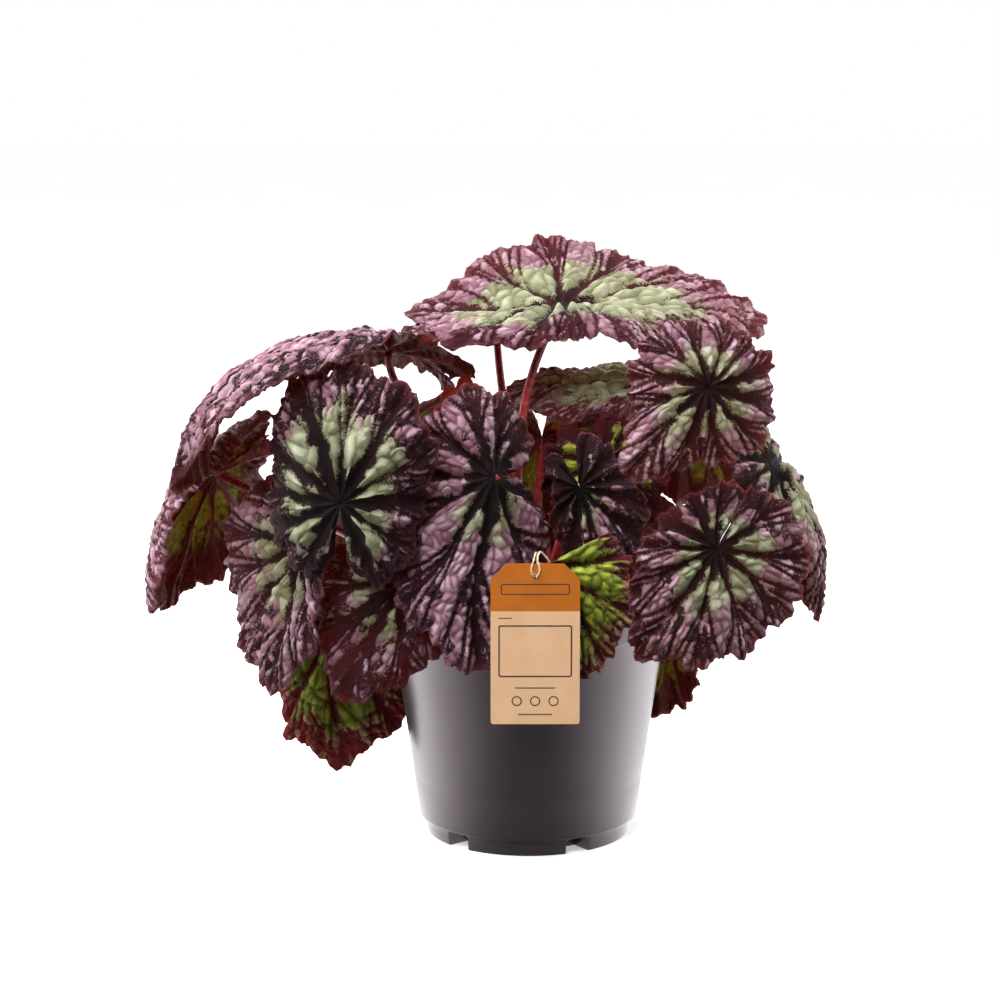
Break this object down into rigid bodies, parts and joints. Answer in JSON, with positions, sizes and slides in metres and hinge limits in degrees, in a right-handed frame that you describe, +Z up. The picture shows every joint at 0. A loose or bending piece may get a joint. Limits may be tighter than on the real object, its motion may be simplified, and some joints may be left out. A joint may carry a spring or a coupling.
{
  "type": "potted rex begonia",
  "caption": "Foliage houseplant: a mound of ribbed, puckered, pink and silver heart-shaped leaves on red stalks in a round plastic nursery pot, with a blank hang tag.",
  "frame": {"origin": "centre of the pot's flat underside, on the surface that the pot stands on", "axes": "+Z up, -Y the plant's front, +X to the viewer's right when looking at the front"},
  "size_m": [0.3369, 0.2185, 0.2951],
  "materials": {
    "silver_leaf": null,
    "green_leaf": null,
    "rhizome_skin": "brown rhizome ringed by leaf scars",
    "potting_mix": null,
    "pot_plastic": "dark grey blown or thermoformed plastic, semi-gloss",
    "tag_card": "uncoated card, orange band over cream",
    "tag_string": "thin twisted cotton string"
  },
  "bodies": {
    "root": {"leaf_crown": "silver_leaf", "leaf_left_arch": "silver_leaf", "leaf_far_left": "silver_leaf", "leaf_low_left": "silver_leaf", "leaf_front_left": "silver_leaf", "leaf_front_middle": "silver_leaf", "leaf_under_front": "silver_leaf", "leaf_bottom_left": "green_leaf", "leaf_spiral": "silver_leaf", "leaf_right_edge": "silver_leaf", "leaf_low_right": "silver_leaf", "leaf_right_behind": "silver_leaf", "leaf_inner": "green_leaf", "leaf_shaded": "silver_leaf", "leaf_low_middle": "green_leaf", "leaf_right_hanging": "silver_leaf", "leaf_young": "silver_leaf", "leaf_top_back": "silver_leaf", "leaf_back_left": "silver_leaf", "leaf_back_middle": "silver_leaf", "leaf_back_right": "silver_leaf", "leaf_low_back_left": "silver_leaf", "leaf_low_back": "silver_leaf", "leaf_low_back_right": "silver_leaf", "rhizome": "rhizome_skin", "soil": "potting_mix", "pot": "pot_plastic", "tag": "tag_card", "tag_string": "tag_string"}
  },
  "joints": []
}
